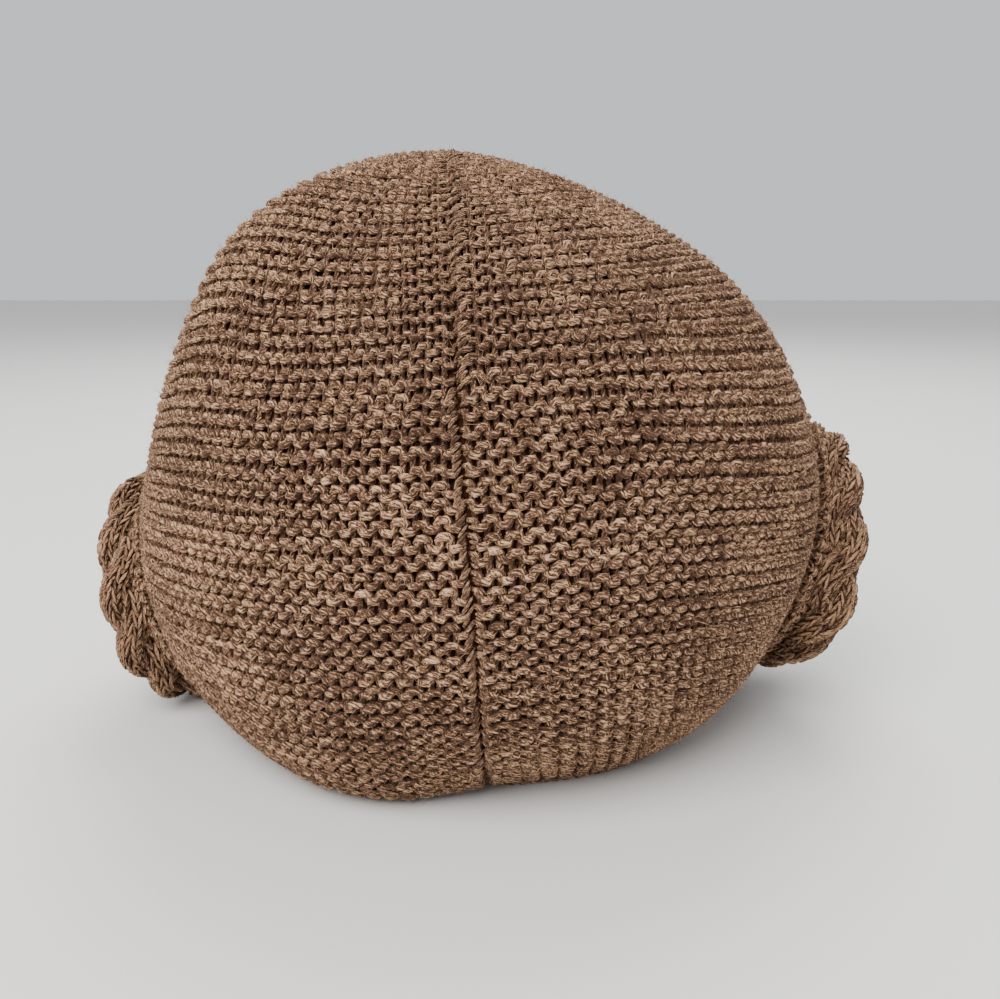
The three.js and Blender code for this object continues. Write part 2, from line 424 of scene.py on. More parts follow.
def neighbours(path, closed):
    """The next and the last point along each tube."""
    if closed:
        return np.roll(path, -1, 1), np.roll(path, 1, 1)
    ahead = np.concatenate([path[:, 1:], 2 * path[:, -1:] - path[:, -2:-1]], 1)
    behind = np.concatenate([2 * path[:, :1] - path[:, 1:2], path[:, :-1]], 1)
    return ahead, behind


class TubeStore:
    """Collects yarn tubes and turns them into one mesh."""

    def __init__(self, sides=YARN_SIDES):
        self.sides = sides
        self.verts, self.faces, self.uvs, self.tones = [], [], [], []
        self.count = 0

    def add(self, path, lift, radius, tone, closed=False, flat=1.0):
        """Adds tubes by their middle lines and outward directions (tubes, steps, 3) and their radii."""
        tubes, steps = path.shape[:2]
        spans = steps if closed else steps - 1
        ahead, behind = neighbours(path, closed)
        ring = self.rings(ahead - behind, lift, flat)
        tone = np.asarray(tone, float).reshape(tubes, -1, 1)
        self.verts.append((path[:, :, None] + ring * radius[:, :, None, None]).reshape(-1, 3))
        self.faces.append(self.quads(tubes, steps, spans))
        self.uvs.append(self.loops(np.linalg.norm(ahead - path, axis=-1), spans))
        self.tones.append(np.broadcast_to(tone, (tubes, steps, self.sides)).reshape(-1))
        self.count += tubes * steps * self.sides

    def rings(self, tangent, lift, flat):
        """Unit rings round each point, the first corner of a three-sided one towards lift."""
        tangent = safe_unit(tangent)
        wide = safe_unit(np.cross(tangent, lift))
        thick = np.cross(wide, tangent)
        a = TAU * (np.arange(self.sides) / self.sides + (0.25 if self.sides == 3 else 0))
        return wide[:, :, None] * np.cos(a)[:, None] + thick[:, :, None] * (np.sin(a) * flat)[:, None]

    def quads(self, tubes, steps, spans):
        s = self.sides
        base = self.count + (np.arange(tubes) * steps * s)[:, None, None]
        i = np.arange(spans)[None, :, None]
        j = (i + 1) % steps
        k = np.arange(s)[None, None, :]
        m = (k + 1) % s
        corners = (base + i * s + k, base + j * s + k, base + j * s + m, base + i * s + m)
        return np.stack(np.broadcast_arrays(*corners), -1).reshape(-1, 4)

    def loops(self, gap, spans):
        """Length along the yarn, mm, and share of the way round it, for the corners of every quad."""
        length = np.concatenate([np.zeros((len(gap), 1)), np.cumsum(gap, 1)], 1)
        u0, u1 = length[:, :spans, None], length[:, 1:spans + 1, None]
        k = np.arange(self.sides)[None, None, :]
        v0, v1 = k / self.sides, (k + 1) / self.sides
        corners = ((u0, v0), (u1, v0), (u1, v1), (u0, v1))
        uv = np.stack([np.stack(np.broadcast_arrays(u, v), -1) for u, v in corners], -2)
        return uv.reshape(-1, 2)

    def build(self, name):
        parts = (self.verts, self.faces, self.uvs, self.tones)
        return make_mesh(name, *(np.concatenate(part) for part in parts))


# Materials

def new_material(name, **inputs):
    """A material with the named inputs of its shader set, _ standing for a space."""
    mat = bpy.data.materials.new(name)
    mat.use_nodes = True
    shader = mat.node_tree.nodes["Principled BSDF"]
    for key, value in inputs.items():
        shader.inputs[key.replace("_", " ")].default_value = value
    return mat, mat.node_tree, shader


def node(tree, kind, **values):
    n = tree.nodes.new(kind)
    for key, value in values.items():
        if hasattr(n, key):
            setattr(n, key, value)
        else:
            n.inputs[key].default_value = value
    return n


def math_node(tree, kind, a, b=None):
    n = node(tree, "ShaderNodeMath", operation=kind)
    for socket, value in zip(n.inputs, (a, b)):
        if value is None:
            continue
        if isinstance(value, (int, float)):
            socket.default_value = value
        else:
            tree.links.new(value, socket)
    return n.outputs[0]


def scaled(tree, value, factor):
    return math_node(tree, "MULTIPLY", value, factor)


def noise(tree, vector=None, **values):
    """Noise over a vector, or over the object's own space."""
    if vector is None:
        vector = node(tree, "ShaderNodeTexCoord").outputs["Object"]
    n = node(tree, "ShaderNodeTexNoise", **values)
    tree.links.new(vector, n.inputs["Vector"])
    return n.outputs["Fac"]


def ramp(tree, stops, colours, fac):
    n = tree.nodes.new("ShaderNodeValToRGB")
    while len(n.color_ramp.elements) < len(stops):
        n.color_ramp.elements.new(0.5)
    for element, place, colour in zip(n.color_ramp.elements, stops, colours):
        element.position = place
        element.color = (*colour, 1)
    tree.links.new(fac, n.inputs["Fac"])
    return n.outputs["Color"]


def add_bump(tree, shader, height, strength, distance):
    bump = node(tree, "ShaderNodeBump", Strength=strength, Distance=distance)
    tree.links.new(height, bump.inputs["Height"])
    tree.links.new(bump.outputs["Normal"], shader.inputs["Normal"])


def yarn_twist(tree):
    """The yarn's plies as a wave and its fibres as a noise, both wound round its length."""
    uv = node(tree, "ShaderNodeUVMap", uv_map="yarn")
    split = node(tree, "ShaderNodeSeparateXYZ")
    tree.links.new(uv.outputs["UV"], split.inputs[0])
    along, around = split.outputs["X"], split.outputs["Y"]
    twist = math_node(tree, "ADD", scaled(tree, along, TWISTS_PER_MM), around)
    ply = math_node(tree, "SINE", scaled(tree, twist, TAU * PLIES))
    place = node(tree, "ShaderNodeCombineXYZ")
    tree.links.new(scaled(tree, twist, FIBRES_ROUND), place.inputs["X"])
    tree.links.new(along, place.inputs["Y"])
    tree.links.new(scaled(tree, noise(tree, Scale=PATCH_NOISE, Detail=2.0), PATCH_SHIFT), place.inputs["Z"])
    return ply, noise(tree, place.outputs[0], Scale=1.0, Detail=3.0, Roughness=0.7)


def wool_mix(tree, ply, fibre):
    """Where each spot lies between dark and light wool: its fibre, ply, patch of cloth and own tone, which
    on the crown holds painted shade between the bumps.
    """
    tone = node(tree, "ShaderNodeAttribute", attribute_name="tone")
    broad = math_node(tree, "SUBTRACT", noise(tree, Scale=BROAD_NOISE, Detail=2.0), 0.5)
    mix = math_node(tree, "ADD", fibre, scaled(tree, ply, PLY_SHADE))
    mix = math_node(tree, "ADD", mix, scaled(tree, broad, BROAD_SHADE))
    return math_node(tree, "ADD", mix, tone.outputs["Fac"])


def yarn_material(name, wool):
    """Plied, marled wool: twisted plies and fibres follow the yarn's own length and round."""
    mat, tree, shader = new_material(
        name, Roughness=0.92, Specular_IOR_Level=0.18, Sheen_Weight=0.25, Sheen_Roughness=0.5,
        Sheen_Tint=(*wool[2], 1))
    ply, fibre = yarn_twist(tree)
    colour = ramp(tree, MARL_STOPS, wool, wool_mix(tree, ply, fibre))
    spots = noise(tree, Scale=CAST_NOISE, Detail=2.0)
    cast = ramp(tree, (0.40, 0.60), (OCHRE_CAST, MAUVE_CAST), spots)
    tint = node(tree, "ShaderNodeMix", data_type="RGBA", blend_type="MULTIPLY")
    tint.inputs["Factor"].default_value = 1.0
    tree.links.new(colour, tint.inputs[6])
    tree.links.new(cast, tint.inputs[7])
    tree.links.new(tint.outputs[2], shader.inputs["Base Color"])
    height = math_node(tree, "ADD", scaled(tree, ply, PLY_HEIGHT), scaled(tree, fibre, FIBRE_HEIGHT))
    add_bump(tree, shader, height, 1.0, YARN_BUMP)
    return mat


def fuzz_material(name, colour):
    """Loose wool, a little darker in places."""
    mat, tree, shader = new_material(name, Roughness=0.8, Specular_IOR_Level=0.2)
    dark = tuple(c * 0.6 for c in colour)
    shades = ramp(tree, (0.35, 0.65), (dark, colour), noise(tree, Scale=STRAY_NOISE, Detail=1.0))
    tree.links.new(shades, shader.inputs["Base Color"])
    return mat


def shade_material(name, colours, scale):
    """Painted shade: a dark, matted-looking wool colour for what lies between and behind the stitches,
    standing in for the shadow there.
    """
    mat, tree, shader = new_material(name, Roughness=1.0, Specular_IOR_Level=0.05)
    matted = noise(tree, Scale=scale, Detail=4.0, Roughness=0.7)
    tree.links.new(ramp(tree, (0.35, 0.65), colours, matted), shader.inputs["Base Color"])
    add_bump(tree, shader, matted, 0.8, SHADE_BUMP)
    return mat


# How the body is knitted

def between(spec, turn):
    """1 between the start and the stop of a stretch of turns, 0 outside it."""
    return smoothstep(*spec["starts"], turn) * (1 - smoothstep(*spec["stops"], turn))


def swelling(spec, turn, down):
    """A smooth local change, greatest at one turn and angle down."""
    aside, below = (turn - spec["turn"]) / spec["wide"], (down - spec["down"]) / spec["high"]
    return spec["by"] * np.exp(-aside ** 2 - below ** 2)


def openness(turn, down):
    """1 where the knitting is stretched open, 0 where its ridges close up."""
    side = np.exp(-np.abs((turn - OPEN["turn"]) / OPEN["wide"]) ** 3)
    return side * smoothstep(*OPEN["starts"], down)


def stitch_width(turn, down):
    """Width of one stitch, mm."""
    return from_table(STITCHES, "width", down) + OPEN_STRETCH * openness(turn, down)


def pitch_at(down):
    return from_table(GAUGE, "pitch", down)


def evenness(turn, down):
    """1 where both bumps of a course lie evenly spaced, so that no ridges show; 0 where ridges are plain."""
    right = between(EVEN, turn)
    upper = 1 - EVEN["ease"] * smoothstep(*EVEN["eases"], down)
    tip = 1 - smoothstep(*EVEN["tip"], down)
    return np.maximum(right * upper, EVEN["tip_share"] * tip)


def course_shift(turn, down):
    """Degrees by which a course lies below its own level: creased and sagging left, dropping right."""
    reach = between(DROP, turn)
    drop = DROP["by"] * reach * smoothstep(*DROP["upper"], down) * (1 - smoothstep(*DROP["lower"], down))
    return swelling(CREASE, turn, down) + swelling(SAG, turn, down) + drop


def lay_out_courses(skin):
    """Angles down of the courses, by arc length from the tip to the hem, and the count at each angle."""
    d = np.linspace(0, HEM_DOWN, 1500)
    p = skin.point(np.full_like(d, 14.0), d)
    step = np.linalg.norm(np.diff(p, axis=0), axis=1)
    index = run_length(step / pitch_at((d[1:] + d[:-1]) / 2))
    return np.interp(np.arange(int(index[-1]) + 1) + 0.45, index, d), index, d


def seam_lips(down):
    """How far the courses stop short of the seam on its left and on its right, mm."""
    low = smoothstep(*SEAM_OPENS, down)
    return 1.2 * low - 0.15, 0.45 - 0.2 * (1 - low)


def stitch_phases(turns):
    """Phases along a course: more of them on the stitches of the back and sides."""
    phases = []
    for number, away in enumerate(np.abs(turns)):
        steps = BACK_STEPS if away < BACK_REACH else SIDE_STEPS if away < SIDE_REACH else FRONT_STEPS
        phases.append(steps + TAU * number)
    return np.concatenate(phases + [np.array([TAU * len(turns) - math.radians(45)])])


def follow_course(share, above, hold):
    """Numbers the stitches so that each sits under one of the course above, but for a few added ones."""
    held = 0 if above is None else int(round(above[-1]))
    count = held if held and abs(share[-1] - held) < 1.5 else max(6, int(round(share[-1])))
    share = share * count / share[-1]
    if above is None:
        return share, count
    gap = share - above
    whole = np.floor(gap + 1e-6)
    under = above + whole + smoothstep(0.42, 0.58, gap - whole)
    return share + hold * (under - share), count


def pulled_pitch(skin, turn, down, gap):
    """Distance from course to course, mm, at each turn: wider where the cloth is pulled."""
    high, low = (skin.point(turn, d + course_shift(turn, d)) for d in (down - gap / 2, down + gap / 2))
    return np.clip(np.linalg.norm(high - low, axis=-1), *PULL_LIMITS)


class Course:
    """One course of yarn, from the seam round to the seam."""

    def __init__(self, skin, number, down, gap, above):
        self.skin, self.down = skin, down
        self.pitch = float(pitch_at(down))
        self.full = float(smoothstep(*STITCHES_FILL, down))
        self.aside = float(seam_turn(down))
        self.lay_stitches(above)
        self.open = openness(self.turn, down)
        self.even = np.maximum(evenness(self.turn, down), self.open)
        self.pulled = pulled_pitch(skin, self.turn, down, gap)
        waves = [smooth_noise(seed + number, NOISE_WAVES) for seed in NOISE_SEEDS]
        self.wobble, self.drift, self.swell = waves
        stitch = np.clip((self.phase / TAU + 0.5).astype(int), 0, self.count)
        self.uneven = rng.normal(0, 1, (3, self.count + 1))[:, stitch]

    def lay_stitches(self, above):
        """Finds the turn and phase of every point drawn, and how near it is to an end of the course."""
        ring = max(self.skin.ring(self.down), LEAST_RING)
        left_lip, right_lip = seam_lips(self.down)
        start, stop = math.degrees(right_lip / ring), 360 - math.degrees(left_lip / ring)
        fine = np.linspace(start, stop, FINE_STEPS)
        turns = half_turns(fine)
        edge = self.skin.point(turns + self.aside, np.full_like(turns, self.down))
        arc = np.linalg.norm(np.diff(edge, axis=0), axis=1)
        share = run_length(arc / stitch_width(turns[1:], self.down))
        hold = HOLD - HOLD_LOSS * float(smoothstep(*HOLD_LOOSENS, self.down))
        self.share, self.count = follow_course(share, above, hold)
        middles = np.interp(np.arange(self.count) + 0.5, self.share, fine)
        self.phase = stitch_phases(half_turns(middles))
        turn = np.interp(self.phase / TAU + 0.125, self.share, fine)
        self.turn = half_turns(turn)
        self.mm_per_degree = run_length(arc)[-1] / (stop - start)
        near = np.minimum(turn - start, stop - turn) * self.mm_per_degree
        dip = END_DIP["plain"] + END_DIP["low"] * float(smoothstep(*ENDS_DIP, self.down))
        self.end = 1 - (1 - np.clip(near / END_LENGTH, 0, 1)) * dip

    def offsets(self):
        """How far the yarn swings along its course, up from it and out of it, mm."""
        t, pitch = self.phase, self.pitch
        swing = SWING["plain"] + SWING["open"] * self.open + SWING["full"] * self.full
        swing = stitch_width(self.turn, self.down) * (swing + SWING["uneven"] * self.uneven[0])
        across = swing * np.sin(2 * t) + SWING["drift"] * self.drift(self.turn)
        spread = pitch + (self.pulled - pitch) * self.even
        rise = spread * (RISE["plain"] + RISE["even"] * self.even) * (1 + RISE["uneven"] * self.uneven[1])
        up = rise * (np.cos(t) - RISE["blunt"] * np.cos(3 * t)) / RISE["peak"]
        up = up + pitch * (WANDER["wobble"] * self.wobble(self.turn) + WANDER["uneven"] * self.uneven[2])
        depth = DEPTH["plain"] + DEPTH["even"] * self.even * (1 - self.open)
        depth = depth + DEPTH["uneven"] * self.uneven[0]
        out = depth * np.cos(2 * t) + DEPTH["swell"] * self.swell(self.turn) - depth
        return across, up, out

    def path(self):
        """The yarn's middle line and the outward direction at each of its points."""
        across, up, out = self.offsets()
        turn = self.turn + across / self.mm_per_degree + self.aside
        down = self.down + course_shift(self.turn, self.down)
        span = self.skin.point(turn, down + 0.5) - self.skin.point(turn, down - 0.5)
        down = down - up / np.maximum(np.linalg.norm(span, axis=-1), 0.4)
        down = np.clip(down, 0.3, LAST_DOWN)
        normal = self.skin.normal(turn, down)
        out = out - SINK - END_DIP["sink"] * (1 - self.end) ** 2
        return keep_above(self.skin.point(turn, down) + normal * out[:, None], LEAST_CLEAR), normal

    def radius(self):
        """Radius of the yarn: finer at the tip and at the seam, fuller on the right and low down."""
        fine = min(1.0, float(stitch_width(90.0, self.down)) / FULL_WIDTH)
        taper = 0.5 + 0.5 * np.sqrt(self.end)
        right = THICKNESS["right"] * smoothstep(*FULL_ON_RIGHT, self.turn)
        fill = 1 + THICKNESS["closed"] * (1 - self.open) + right + THICKNESS["full"] * self.full
        plump = 1 + THICKNESS["bumps"] * np.cos(2 * self.phase) + THICKNESS["uneven"] * self.uneven[2]
        pull = np.sqrt(np.clip(self.pulled / self.pitch, *PULL_SHARES))
        return YARN * fine * taper * fill * plump * pull

    def tone(self):
        """Tone of the wool: random shifts by stitch and course, and painted shade, darker where the yarn
        dips between the bumps.
        """
        stitch = SHADE["swell"] * self.swell(self.turn + 10) + SHADE["uneven"] * self.uneven[1]
        course = rng.normal(0, SHADE["course"])
        return stitch + course + SHADE["between"] * (1 - np.cos(2 * self.phase))


def knit_crown(skin, downs, mat):
    """All courses as yarn, in a few pieces; returns places for loose fibres."""
    stores, used, places, above = [TubeStore()], 0, [], None
    for number, (down, gap) in enumerate(zip(downs, np.gradient(downs))):
        course = Course(skin, number, down, gap, above)
        above = course.share
        path, normal = course.path()
        radius = course.radius()
        made = len(path) * YARN_SIDES * 2
        if used + made > PIECE_TRIANGLES:
            stores.append(TubeStore())
            used = 0
        stores[-1].add(path[None], normal[None], radius[None], course.tone()[None], flat=YARN_FLAT)
        used += made
        places.append((path, normal, radius))
    for number, store in enumerate(stores):
        dress(store.build(f"crown_courses_{number + 1}"), mat)
    return joined(places)


def joined(places):
    return [np.concatenate(part) for part in zip(*places)]


# The seam, the inside and the hem

def drawn(limits, more=0.0):
    """A random number between two limits, the upper one raised by some more."""
    return rng.uniform(limits[0], limits[1] + more)


def edge_strand(u, side, low, pitch):
    """A slanted strand of an edge stitch: places across, along and out of the seam, and thickness."""
    high = 1 - low
    across = side * drawn(STRAND["aside"], 0.9 * high)
    across = across + (u - 0.5) * drawn(STRAND["across"], 0.8 * high)
    along = (u - 0.5) * pitch * drawn(STRAND["along"])
    out = 0.5 * np.sin(math.pi * u) - 0.55 - 0.1 * low + drawn(STRAND["out"])
    return across, along, out, drawn(STRAND["thick"]) + 0.06 * high


def edge_bar(u, side):
    """A short bar on the seam's other side, in the same terms."""
    across = -side * (0.4 + u * drawn(BAR["across"]))
    along = (u - 0.5) * drawn(BAR["along"])
    out = 0.6 * np.sin(math.pi * (0.15 + 0.7 * u)) - 0.85 + drawn(BAR["out"])
    return across, along, out, drawn(BAR["thick"])


def seam_edges(skin, downs, mat):
    """Slanted strands of the edge stitches along one side of the seam, and short bars along the other."""
    u = np.linspace(0, 1, 6)
    strands = []
    for down in downs[1:]:
        pitch = float(pitch_at(down))
        low = float(smoothstep(*SEAM_OPENS, down))
        per = math.degrees(1 / max(skin.ring(down), 6))
        side = -1 if rng.random() < low else 1
        for k in range(EDGE_STRANDS):
            middle = down + k * 0.2 * pitch / EDGE_SLANT + rng.uniform(-0.3, 0.3)
            slanted = k < 3 or rng.random() < 0.3
            x, y, z, thick = edge_strand(u, side, low, pitch) if slanted else edge_bar(u, side)
            d = np.clip(middle - y / EDGE_SLANT, 0.5, LAST_DOWN)
            turn = x * per + float(seam_turn(down))
            normal = skin.normal(turn, d)
            path = keep_above(skin.point(turn, d) + normal * z[:, None], EDGE_CLEAR)
            radius = thick * (0.4 + 0.6 * np.sin(math.pi * u) ** 0.5)
            strands.append((path, normal, radius, rng.normal(-0.005, 0.03)))
    store = TubeStore()
    store.add(*(np.array(part) for part in zip(*strands)))
    dress(store.build("back_seam_stitches"), mat)


def turns_and_downs(turns, downs):
    """A grid of turns all the way round and angles down to the hem."""
    return np.meshgrid(np.linspace(-180, 180, turns + 1)[:-1], np.linspace(0.5, HEM_DOWN, downs))


def crown_backing(skin, mat):
    """A sheet in painted shade behind the stitches, so that the gaps between them show dark as shadow;
    closer to them at the sides.
    """
    turn, down = turns_and_downs(96, 60)
    deep = 2.5 - 0.7 * smoothstep(88, 105, np.abs(turn))
    sheet = keep_above(skin.point(turn, down) - skin.normal(turn, down) * deep[..., None], 1.6)
    shell = dress(grid_mesh("crown_backing", sheet), mat)
    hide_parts("crown")


def crown_inside(skin, index, index_downs, mat):
    """The knitted inside of the wall, one ridge to a course."""
    turn, down = turns_and_downs(144, 80)
    course = np.interp(down, index_downs, index)
    wale = turn / 360 * 80
    ridge = 0.45 * np.cos(TAU * course) + 0.3 * np.cos(TAU * wale) * np.sin(math.pi * course)
    sheet = keep_above(skin.smooth_point(turn, down, WALL + ridge), 3.0)
    across = (turn + 180) / 360 * 560
    uv = np.stack([across, course * 1.5], -1)
    dress(grid_mesh("crown_inside", sheet[::-1], uv[::-1]), mat)


def hem_edge(skin, mat):
    """The cast-off edge: two rows of loops round the lip of the hem."""
    points = HEM_LOOPS * 6
    t = np.linspace(0, TAU * HEM_LOOPS, points + 1)[:-1]
    turn = -180 + 360 * np.arange(points) / points
    lip = skin.smooth_point(turn, np.full_like(turn, HEM_DOWN + 0.6))
    inward = MIDDLE - lip
    inward[:, 2] = 0
    inward = unit(inward)
    store = TubeStore()
    for k, (reach, lift) in enumerate(((-0.6, 0.9), (-0.2, 2.5))):
        p = lip + inward * (reach + 0.7 * np.cos(t + k * math.pi))[:, None]
        p[:, 2] = lift + 0.25 * np.sin(2 * t)
        store.add(p[None], inward[None], np.full((1, points), 0.8), [0.0], closed=True)
    dress(store.build("hem_edge"), mat)


# The ear warmers

class PadFrame:
    """The flat frame of one ear warmer: middle on the skin, out away from the head, up towards the tip."""

    def __init__(self, skin, warmer):
        def at(turn, down):
            return skin.smooth_point(np.array([turn]), np.array([down]))[0]
        turn, down = warmer["turn"], warmer["down"]
        self.skin, self.side = skin, warmer["side"]
        self.radius, self.lean = warmer["radius"], warmer["lean"]
        self.swell, self.foot = warmer["swell"], warmer["foot"]
        self.middle = at(turn, down)
        self.up = unit(at(turn, down - 14) - at(turn, down + 14))
        across = unit(at(turn + 14, down) - at(turn - 14, down))
        self.out = unit(np.cross(across, self.up))
        self.right = unit(np.cross(self.up, self.out))

    def base(self, u, v, follow):
        """Point of the flat frame at u, v, moved back by its share of the skin's drop there."""
        flat = self.middle + u[..., None] * self.right + v[..., None] * self.up
        ray = flat - MIDDLE
        length = np.linalg.norm(ray, axis=-1)
        ray = ray / length[..., None]
        down = np.degrees(np.arccos(ray @ TIP))
        turn = np.degrees(np.arctan2(ray @ SIDE, ray @ BACK))
        drop = (length - self.skin.distance(turn, down)) * (ray @ self.out)
        return flat - (follow * drop)[..., None] * self.out

    def lift(self, u, v, follow=1.0):
        """Direction away from the head, from the slope of the skin at u, v."""
        across = self.base(u + 2, v, follow) - self.base(u - 2, v, follow)
        along = self.base(u, v + 2, follow) - self.base(u, v - 2, follow)
        return unit(np.cross(across, along))

    def place(self, u, v, height, follow=1.0):
        u, v, height = np.broadcast_arrays(u, v, height)
        return keep_above(self.base(u, v, follow) + self.lift(u, v, follow) * height[..., None], 0.9)

    def round_place(self, radius, angle, height):
        return self.place(radius * np.cos(angle), radius * np.sin(angle), height)


def strand_spot(pad, strand, angle):
    """Place of a strand in the pad's flat frame, with its share of the skin's drop: less low down."""
    phase = BRAID_PERIODS * angle + TAU * strand / 3
    radius = pad.radius + BRAID_WAVE * np.sin(phase)
    u, v = radius * np.cos(angle), radius * np.sin(angle)
    return phase, u, v, BRAID_FOLLOW - 0.1 * smoothstep(6, 30, -v)


def strand_line(pad, strand, angle):
    """Middle of one strand of the plait, which lies closer near the tip and swells just below its middle."""
    phase, u, v, follow = strand_spot(pad, strand, angle)
    wave = np.sin(2 * phase)
    over = np.sign(wave) * np.abs(wave) ** 0.75
    height = BRAID_BASE + BRAID_LIFT * (1 + over) - pad.lean * smoothstep(0, 28, v)
    height = height + pad.swell * np.exp(-((v + 13) / 10) ** 2) - pad.foot * smoothstep(12, 25, -v)
    return pad.place(u, v, height, follow)


def strand_frames(pad, strand, angle):
    """Middle, width direction and thickness direction of a strand."""
    here = strand_line(pad, strand, angle)
    tangent = unit(strand_line(pad, strand, angle + 0.01) - strand_line(pad, strand, angle - 0.01))
    _, u, v, follow = strand_spot(pad, strand, angle)
    wide = unit(np.cross(tangent, pad.lift(u, v, follow)))
    return here, wide, np.cross(wide, tangent)


def section(beta):
    """Rounded-oblong section of a strand."""
    c, s = np.cos(beta), np.sin(beta)
    return np.sign(c) * np.abs(c) ** STRAND_SHAPE, np.sign(s) * np.abs(s) ** STRAND_SHAPE


def strand_core(pad, strand, name, mat):
    """The core that the stitches of a strand lie on, in painted shade so that the gaps between them show
    dark as shadow.
    """
    steps, sides = 120, 12
    here, wide, thick = strand_frames(pad, strand, TAU * np.arange(steps) / steps)
    c, s = section(TAU * np.arange(sides) / sides)
    half_wide, half_thick = STRAND_WIDE / 2 - 0.5, STRAND_THICK / 2 - 0.5
    core = here[:, None] + wide[:, None] * (c * half_wide)[None, :, None]
    core = keep_above(core + thick[:, None] * (s * half_thick)[None, :, None], 0.5)
    obj = dress(grid_mesh(name + "_core", np.concatenate([core, core[:1]])), mat)
    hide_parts(name)


def leg_places(pad, strand, u):
    """Angles along and round a strand for both legs of all its stitches, four points to a leg."""
    dense = np.linspace(0, TAU, 1201)
    line = strand_line(pad, strand, dense)
    run = run_length(np.linalg.norm(np.diff(line, axis=0), axis=1))
    courses = int(round(run[-1] / COURSE))
    wales = int(round(3.35 * (STRAND_WIDE + STRAND_THICK) / 2 / WALE))
    j = np.arange(courses)[:, None, None, None]
    w = np.arange(wales)[None, :, None, None]
    leg = np.array([-1.0, 1.0])[None, None, :, None]
    uneven = rng.normal(0, 0.05, (courses, wales, 2, 1))
    place = (j + u * 1.3 + uneven) / courses * run[-1]
    beta = TAU * (w + 0.5 + leg * (0.06 + 0.38 * u) + 0.6 * uneven) / wales
    angle, beta = np.broadcast_arrays(np.interp(place % run[-1], run, dense), beta)
    return angle.reshape(-1, 4), beta.reshape(-1, 4)


def strand_stitches(pad, strand, name, mat):
    """The two legs of every smooth-side stitch of a strand; returns places for loose fibres."""
    u = np.array([-0.06, 0.3, 0.7, 1.06])
    angle, beta = leg_places(pad, strand, u)
    here, wide, thick = strand_frames(pad, strand, angle)
    c, s = section(beta)
    bulge = 0.34 * np.sin(math.pi * np.clip(u, 0, 1)) - 0.16
    path = here + wide * (c * (STRAND_WIDE / 2 + bulge))[..., None]
    path = path + thick * (s * (STRAND_THICK / 2 + bulge))[..., None]
    lift = unit(wide * c[..., None] / STRAND_WIDE + thick * s[..., None] / STRAND_THICK)
    radius = np.broadcast_to(np.array([0.28, 0.62, 0.6, 0.22]), path.shape[:2])
    keep = path[..., 2].min(1) > 0.7
    path, lift, radius = path[keep], lift[keep], radius[keep]
    store = TubeStore(3)
    store.add(path, lift, radius, rng.normal(0.03, 0.05, len(path)))
    dress(store.build(name + "_stitches"), mat)
    return path.reshape(-1, 3), lift.reshape(-1, 3), np.full(radius.size, 0.4)


def braid_strand(pad, strand, core_shade_mat, yarn_mat):
    name = f"braid_{pad.side}_strand_{strand + 1}"
    strand_core(pad, strand, name, core_shade_mat)
    return strand_stitches(pad, strand, name, yarn_mat)


def pad_height(pad, radius):
    """Height of the knitted round over the body: a dome in the middle and a thick rim under the plait."""
    t = np.clip(radius / PAD_DOME, 0, 1)
    return 1.4 + 6.2 * (1 - t * t) ** 0.8 + 2.6 * np.exp(-((radius - pad.radius - PAD_RIM) / 3.0) ** 2)


def pad_core(pad, mat):
    """The soft round under the stitches, down to the body at its edge, in painted shade where it shows
    between them.
    """
    rim = pad.radius + PAD_RIM
    over_rim = [rim - 5, rim - 2.5, rim, rim + 1.5, rim + 2.5]
    rings = np.array([0.05, 3, 6, 8.5, 10.5, 11.7, PAD_DOME, 18, *over_rim])
    radius, angle = np.meshgrid(rings, np.linspace(0, TAU, 49)[:-1], indexing="ij")
    sheet = pad.round_place(radius, angle, pad_height(pad, radius) - 0.9)
    edge = pad.round_place(radius[-1:], angle[-1:], np.full_like(radius[-1:], -1.5))
    base = dress(grid_mesh(f"ear_pad_{pad.side}_core", np.concatenate([sheet, edge])), mat)
    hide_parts(f"ear_pad_{pad.side}")


def pad_stitches(pad, mat):
    """Rings of stitches inside and under the plait."""
    rim = pad.radius + PAD_RIM
    store = TubeStore()
    for k, ring in enumerate([1.2, 4.4, 7.6, 10.6, 13.2, rim - 1.6, rim + 1.6]):
        count = max(5, int(round(TAU * ring / WALE)))
        phase = (BACK_STEPS[None] + TAU * np.arange(count)[:, None]).ravel()
        radius = ring + 2.3 * np.cos(phase) * min(1, ring / 3)
        angle = phase / count + 0.42 * np.sin(2 * phase) / max(ring, 1.5) + k
        path = pad.round_place(radius, angle, pad_height(pad, radius) + 0.7 * np.cos(2 * phase) - 0.75)
        lift = np.broadcast_to(pad.out, path.shape)
        store.add(path[None], lift[None], np.full((1, len(path)), 0.9), [0.0], closed=True)
    dress(store.build(f"ear_pad_{pad.side}_stitches"), mat)


def join_stitches(pad, mat):
    """The ragged ends of sewing along the body, just outside the plait."""
    count = JOIN_COUNT
    u = np.linspace(0, 1, 6)
    middle = TAU * (np.arange(count) + rng.uniform(-0.4, 0.4, count)) / count
    outer = rng.uniform(12.4, 16.0, count)[:, None] + pad.radius
    radius = outer - rng.uniform(2.0, 3.6, count)[:, None] * u
    angle = middle[:, None] + rng.normal(0, 0.03, count)[:, None] * (u - 0.5)
    crest = rng.uniform(0.6, 1.6, count)[:, None]
    height = -0.4 + crest * np.sin(math.pi * (0.1 + 0.8 * u)) - 0.9 * u ** 3
    path = pad.round_place(radius, angle, height)
    thick = rng.uniform(0.4, 0.62, count)[:, None] * np.sin(math.pi * (0.12 + 0.76 * u)) ** 0.4
    store = TubeStore()
    store.add(path, np.broadcast_to(pad.out, path.shape), thick, rng.normal(0.03, 0.04, count))
    dress(store.build(f"ear_pad_{pad.side}_join"), mat)


